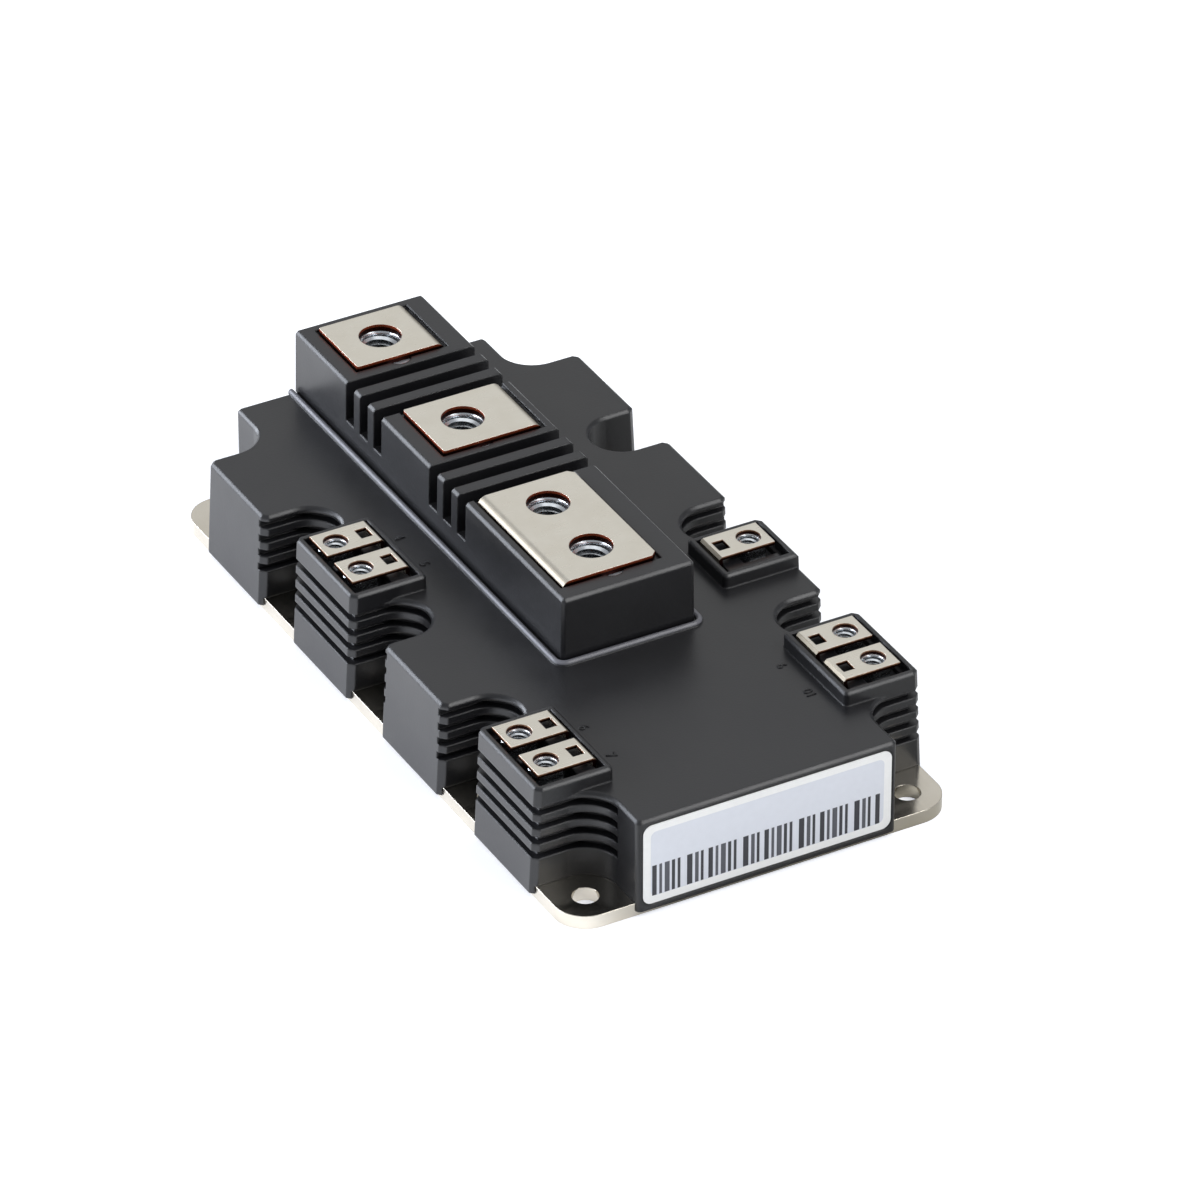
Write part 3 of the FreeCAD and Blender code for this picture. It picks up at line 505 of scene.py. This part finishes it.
nodeFinish = [
    ("base_plate", "plate"), ("housing_shell", "moulded"), ("terminal_tower", "moulded"),
    ("dc_", "powerStrip"), ("ac_", "powerStrip"), ("aux_terminal", "auxStrip"),
    ("power_nut", "steel"), ("aux_nut", "steel"), ("nut_carrier", "moulded"), ("nut_tab", "tab"),
    ("plate_solder", "solder"),
    ("substrate", "ceramic"), ("backside_copper", "copper"), ("copper_tracks", "copper"),
    ("igbt_chips", "silicon"), ("diode_chips", "silicon"), ("bond_ribbons", "aluminium"),
    ("gate_wires", "aluminium"), ("link_wires", "aluminium"), ("thermistor", "sensor"),
    ("silicone_gel", "gel"), ("label", "film"),
]

for nodeName, node in cadNodes.items():
    finish = next(kind for start, kind in nodeFinish if nodeName.startswith(start))
    for slot in node.material_slots:
        slot.material = finishes[finish]
    if not node.material_slots:
        node.data.materials.append(finishes[finish])
print("materials are on the CAD nodes")


# The nuts get chamfers, countersunk mouths and threads

powerNut = {"flats": 13 * mm, "high": 6.5 * mm, "minor": 6.65 * mm, "major": 8.0 * mm, "mouth": 8.6 * mm,
            "pitch": 1.25 * mm}
auxNut = {"flats": 7 * mm, "high": 3.2 * mm, "minor": 3.24 * mm, "major": 4.0 * mm, "mouth": 4.35 * mm,
          "pitch": 0.7 * mm}
nutForm = {
    "endFacing": 0.9,  # upward part of the normal, past which a face is an end
    "blankSides": 48,
    "blankOver": 1.002,  # the round blank stands a hair outside the hexagon's corners
    "rimShare": 0.99,
    "flatEnd": 0.96,  # width of the flat end, as a share of the width across flats
    "endAngle": math.radians(30),
    "boreSides": 36,
    "sinkDepth": 0.8,  # as a share of the countersink's width
    "overrun": 0.2,  # how far a cutter goes past the nut, as a share of its height
    "edge": 0.12 * mm,
    "edgeAngle": math.radians(35),
    "smoothAngle": math.radians(30),
    "ridgeRadius": 0.75,  # these two are shares of the thread's depth
    "ridgeInset": 0.22,
    "ridgeSteps": 28,
    "ridgeSmoothAngle": math.radians(40),
    "overTurn": 0.3,  # share of a turn that the ridge may run into the countersink
    "weld": 0.001 * mm,
}


def chamferedBlank(size, name):
    # a round blank with turned ends; the hexagon is cut out of it
    radius = size["flats"] / math.sqrt(3)
    chamfer = radius - size["flats"] / 2 * nutForm["flatEnd"]
    clearSelection()
    bpy.ops.mesh.primitive_cylinder_add(vertices=nutForm["blankSides"], radius=radius * nutForm["blankOver"],
                                        depth=size["high"], end_fill_type="NGON")
    blank = bpy.context.object
    pickFaces(blank, lambda centre, normal: abs(normal.z) > nutForm["endFacing"])
    bpy.ops.mesh.inset(thickness=chamfer, use_individual=True)
    leaveEdit()
    for side in (-1, 1):
        pickOnly(blank)
        for vertex in blank.data.vertices:
            onRim = Vector(vertex.co.xy).length > radius * nutForm["rimShare"]
            vertex.select = onRim and vertex.co.z * side > 0
        bpy.ops.object.mode_set(mode="EDIT")
        bpy.ops.mesh.select_mode(type="VERT")
        bpy.ops.transform.translate(value=(0, 0, -side * chamfer * math.tan(nutForm["endAngle"])))
        leaveEdit()
    blank.name = name
    return blank


def threadedNut(size, name):
    blank = chamferedBlank(size, name)
    clearSelection()
    bpy.ops.mesh.primitive_cylinder_add(vertices=6, radius=size["flats"] / math.sqrt(3),
                                        depth=size["high"] * (1 + nutForm["overrun"]))
    hexagon = bpy.context.object
    settle(hexagon)
    applyModifier(blank, "BOOLEAN", operation="INTERSECT", object=hexagon, solver="EXACT")
    bpy.data.objects.remove(hexagon)

    # the cutter for the bore and both mouths
    clearSelection()
    sink = (size["mouth"] - size["minor"]) / 2 * nutForm["sinkDepth"]
    grow = size["mouth"] / size["major"]
    past = size["high"] * nutForm["overrun"]
    bpy.ops.mesh.primitive_cylinder_add(vertices=nutForm["boreSides"], radius=size["major"] / 2,
                                        depth=size["high"] - 2 * sink)
    cutter = bpy.context.object
    for side in (-1, 1):
        pickFaces(cutter, lambda centre, normal: normal.z * side > nutForm["endFacing"])
        bpy.ops.mesh.extrude_region_move(TRANSFORM_OT_translate={"value": (0, 0, side * sink)})
        bpy.ops.transform.resize(value=(grow, grow, 1))
        bpy.ops.mesh.extrude_region_move(TRANSFORM_OT_translate={"value": (0, 0, side * past)})
        leaveEdit()
    applyModifier(blank, "BOOLEAN", operation="DIFFERENCE", object=cutter, solver="EXACT")
    bpy.data.objects.remove(cutter)
    applyModifier(blank, "BEVEL", width=nutForm["edge"], segments=2, limit_method="ANGLE",
                  angle_limit=nutForm["edgeAngle"])
    bpy.ops.object.shade_smooth_by_angle(angle=nutForm["smoothAngle"])

    # one ridge, wound up the bore
    clearSelection()
    deep = (size["major"] - size["minor"]) / 2
    bpy.ops.mesh.primitive_circle_add(
        vertices=3, radius=deep * nutForm["ridgeRadius"], fill_type="NOTHING",
        location=(size["major"] / 2 - deep * nutForm["ridgeInset"], 0, -size["high"] / 2 + sink),
        rotation=(math.pi / 2, -math.pi / 2, 0))
    thread = bpy.context.object
    settle(thread)
    turns = int((size["high"] - 2 * sink) / size["pitch"] + nutForm["overTurn"])
    applyModifier(thread, "SCREW", axis="Z", angle=2 * math.pi, screw_offset=size["pitch"], iterations=turns,
                  steps=nutForm["ridgeSteps"], render_steps=nutForm["ridgeSteps"], use_merge_vertices=False)
    weldMesh(thread, nutForm["weld"])
    bpy.ops.object.shade_smooth_by_angle(angle=nutForm["ridgeSmoothAngle"])
    pickOnly(blank)
    thread.select_set(True)
    bpy.ops.object.join()
    settle(blank)
    return blank


def fitNuts(size, name, nodeStart):
    master = threadedNut(size, name + "_master")
    for nodeName in sorted(n for n in cadNodes if n.startswith(nodeStart)):
        middle, low, high = boxMiddle(nodeName)
        nut = copyTo(master, name + nodeName[len(nodeStart):], middle)
        if high.x - low.x > high.y - low.y:
            # this one has a corner, not a flat, towards the module's ends
            nut.data.transform(Matrix.Translation(middle) @ Matrix.Rotation(math.pi / 6, 4, "Z")
                               @ Matrix.Translation(-middle))
        handOver(nut, nut.name, finishes["steel"])
        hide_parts(nodeName)
    bpy.data.objects.remove(master)


fitNuts(powerNut, "m8_nut", "power_nut")
fitNuts(auxNut, "m4_nut", "aux_nut")
print("nuts are threaded")


# The label gets a printed tint and a plain row of bars

labelPrint = {
    "thick": 0.02 * mm,
    "border": 1.7 * mm,
    "cornerRadius": 1.3 * mm,
    "cornerSteps": 6,
    "inkLevel": 1.6,  # middle of the ink above the film, in thicknesses; the tint's is at a half
    "barLow": 4.3 * mm,
    "barHigh": 11.4 * mm,
    "barStart": -26.0 * mm,
    "barEnd": 25.4 * mm,
    # one plain repeating rhythm of bar widths, the gaps after them and inks; it stands for no code
    "rhythm": ((1.0, 0.6, "inkDark"), (0.6, 0.6, "inkMid"), (1.1, 0.5, "inkMid"), (0.7, 0.6, "inkDark"),
               (0.6, 1.5, "inkDark"), (1.2, 0.6, "inkDark"), (0.8, 0.5, "inkMid"), (0.6, 1.1, "inkDark")),
}


def printTint():
    middle, low, high = boxMiddle("label")
    wide = high.y - low.y - 2 * labelPrint["border"]
    tall = high.z - low.z - 2 * labelPrint["border"]
    clearSelection()
    bpy.ops.mesh.primitive_plane_add(size=1, location=(high.x + labelPrint["thick"] / 2, middle.y, middle.z),
                                     rotation=(0, math.pi / 2, 0))
    tint = bpy.context.object
    settle(tint)
    pickFaces(tint, lambda centre, normal: True)
    bpy.ops.transform.resize(value=(1, wide, tall), center_override=(high.x, middle.y, middle.z))
    bpy.ops.mesh.bevel(offset=labelPrint["cornerRadius"], offset_type="OFFSET", segments=labelPrint["cornerSteps"],
                       affect="VERTICES")
    leaveEdit()
    applyModifier(tint, "SOLIDIFY", thickness=labelPrint["thick"], offset=0)
    settle(tint)
    handOver(tint, "label_tint", finishes["tint"])


def printBars():
    # one object for each ink
    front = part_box("label")[1].x
    made = {}
    along = labelPrint["barStart"]
    step = 0
    while along < labelPrint["barEnd"]:
        width, gap, ink = labelPrint["rhythm"][step % len(labelPrint["rhythm"])]
        width *= mm
        made.setdefault(ink, []).append((along, width))
        along += width + gap * mm
        step += 1
    height = labelPrint["barHigh"] - labelPrint["barLow"]
    level = (labelPrint["barHigh"] + labelPrint["barLow"]) / 2
    for ink, bars in made.items():
        clearSelection()
        for number, (start, width) in enumerate(bars):
            spot = (front + labelPrint["thick"] * labelPrint["inkLevel"], start + width / 2, level)
            bpy.ops.mesh.primitive_plane_add(size=1, location=spot, rotation=(0, math.pi / 2, 0))
            if number == 0:
                # the bars after the first are added to its mesh
                bpy.ops.object.mode_set(mode="EDIT")
                bpy.ops.mesh.select_all(action="SELECT")
            bpy.ops.transform.resize(value=(1, width, height), center_override=spot)
        leaveEdit()
        bar = bpy.context.object
        settle(bar)
        applyModifier(bar, "SOLIDIFY", thickness=labelPrint["thick"], offset=0)
        handOver(bar, "label_bars_" + ink[3:].lower(), finishes[ink])


printTint()
printBars()
print("label is printed")


# Moulded numbers stand on the deck beside the small terminals

deckNumbers = {
    "first": 4,  # beside aux_terminal_1, and the others count on from there
    "size": 3.0 * mm,
    "rise": 0.18 * mm,
    "level": 0.3,  # middle of the number above the deck, as a share of the rise
    "edge": 0.04 * mm,
    "curveSteps": 4,
    "aside": 22.6 * mm,
    "weld": 0.002 * mm,
}


def raiseNumbers():
    nutNames = sorted(n for n in cadNodes if n.startswith("aux_nut"))
    for figure, nutName in enumerate(nutNames, deckNumbers["first"]):
        middle = boxMiddle(nutName)[0]
        side = 1 if middle.y > 0 else -1
        clearSelection()
        bpy.ops.object.text_add(location=(0, 0, 0))
        text = bpy.context.object
        text.data.body = str(figure)
        text.data.size = deckNumbers["size"]
        text.data.extrude = deckNumbers["rise"] / 2
        text.data.bevel_depth = deckNumbers["edge"]
        text.data.bevel_resolution = 1
        text.data.resolution_u = deckNumbers["curveSteps"]
        text.data.align_x = "CENTER"
        text.data.align_y = "CENTER"
        bpy.ops.object.convert(target="MESH")
        shape = bpy.context.object
        shape.rotation_euler = (0, 0, math.pi if side > 0 else 0)  # read from the nearer long side
        shape.location = (middle.x, side * deckNumbers["aside"],
                          deckTop + deckNumbers["rise"] * deckNumbers["level"])
        settle(shape)
        weldMesh(shape, deckNumbers["weld"])
        handOver(shape, "deck_number_%d" % figure, finishes["moulded"])


raiseNumbers()
print("numbers are on the deck")
